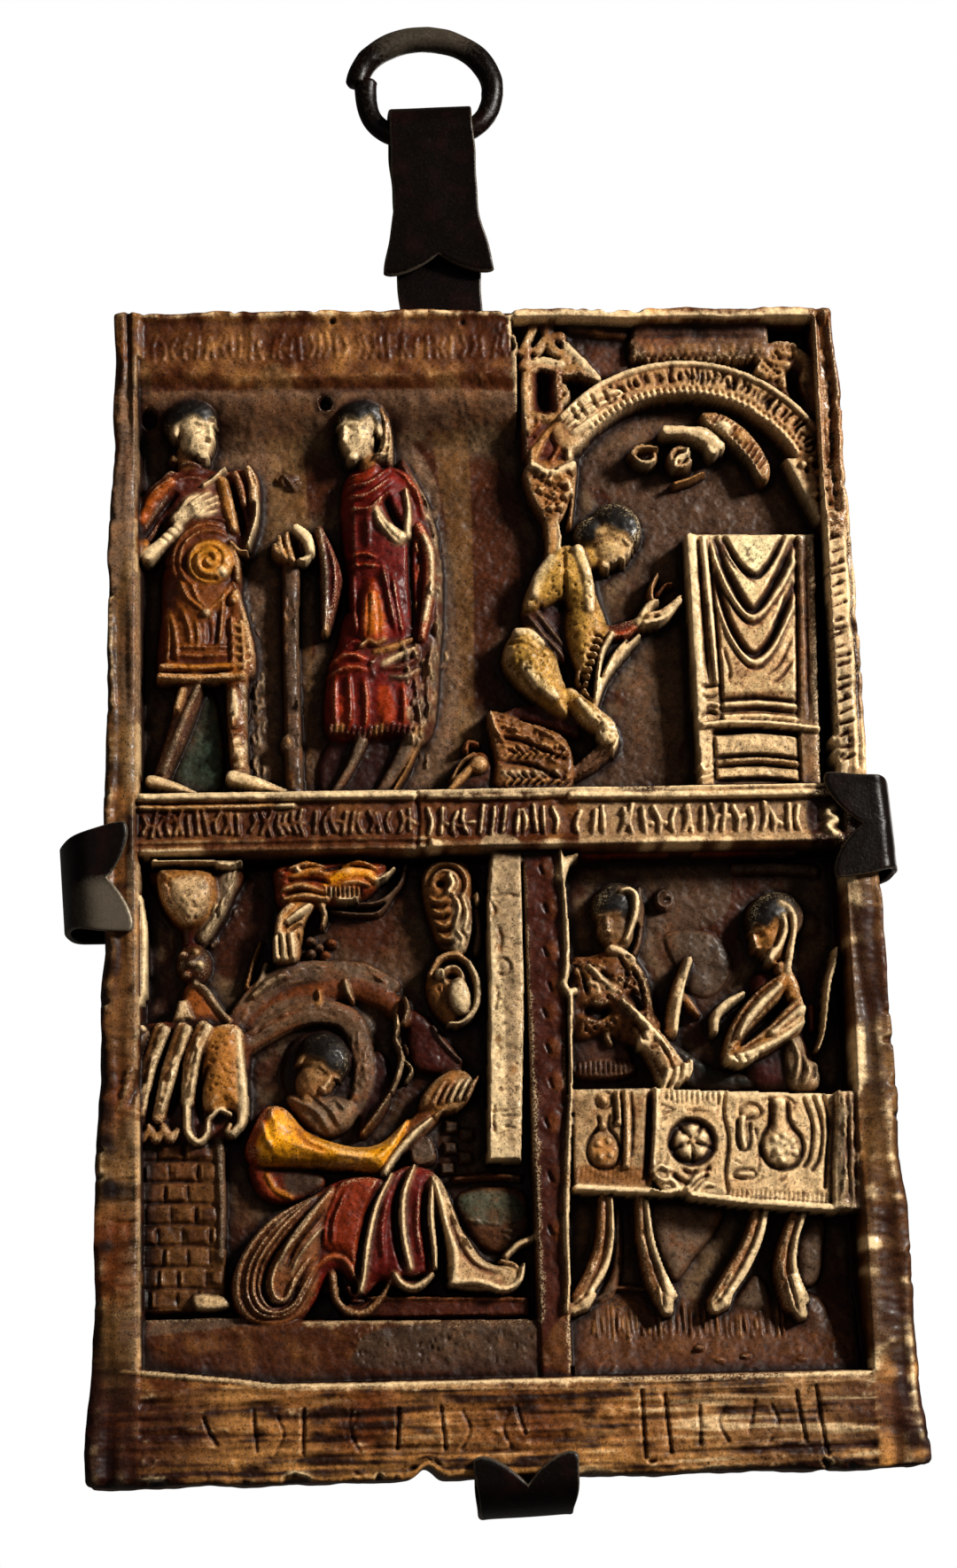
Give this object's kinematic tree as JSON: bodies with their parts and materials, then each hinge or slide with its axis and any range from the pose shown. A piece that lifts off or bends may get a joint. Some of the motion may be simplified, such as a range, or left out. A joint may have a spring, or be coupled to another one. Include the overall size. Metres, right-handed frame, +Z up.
{
  "type": "hanging relief plaque",
  "caption": "Rectangular relief plaque carved with figure scenes, gripped by a bent iron strap cross that hangs from a forged ring.",
  "frame": {"origin": "bearing point inside the top of the ring, where the nail goes", "axes": "+Z up, -Y out of the carved face, +Y towards the wall, +X to the right of someone who looks at the face"},
  "size_m": [0.1924, 0.0259, 0.3612],
  "materials": {
    "cast_relief": "cast filled resin, stained umber, rubbed to ivory on the high places, glazed ochre and red on some robes",
    "forged_iron": "hand-forged strap, blackened, rubbed grey on one claw"
  },
  "bodies": {
    "ring": {"hanging_ring": "forged_iron"},
    "hung_plaque": {"plaque": "cast_relief", "iron_cross": "forged_iron"}
  },
  "joints": [
    {"name": "plaque_swing", "type": "hinge", "parent": "ring", "child": "hung_plaque", "pos_m": [0.0012, 0, -0.02219], "axis": [-0.9993, 0, -0.0384], "range_deg": [0, 90]}
  ]
}
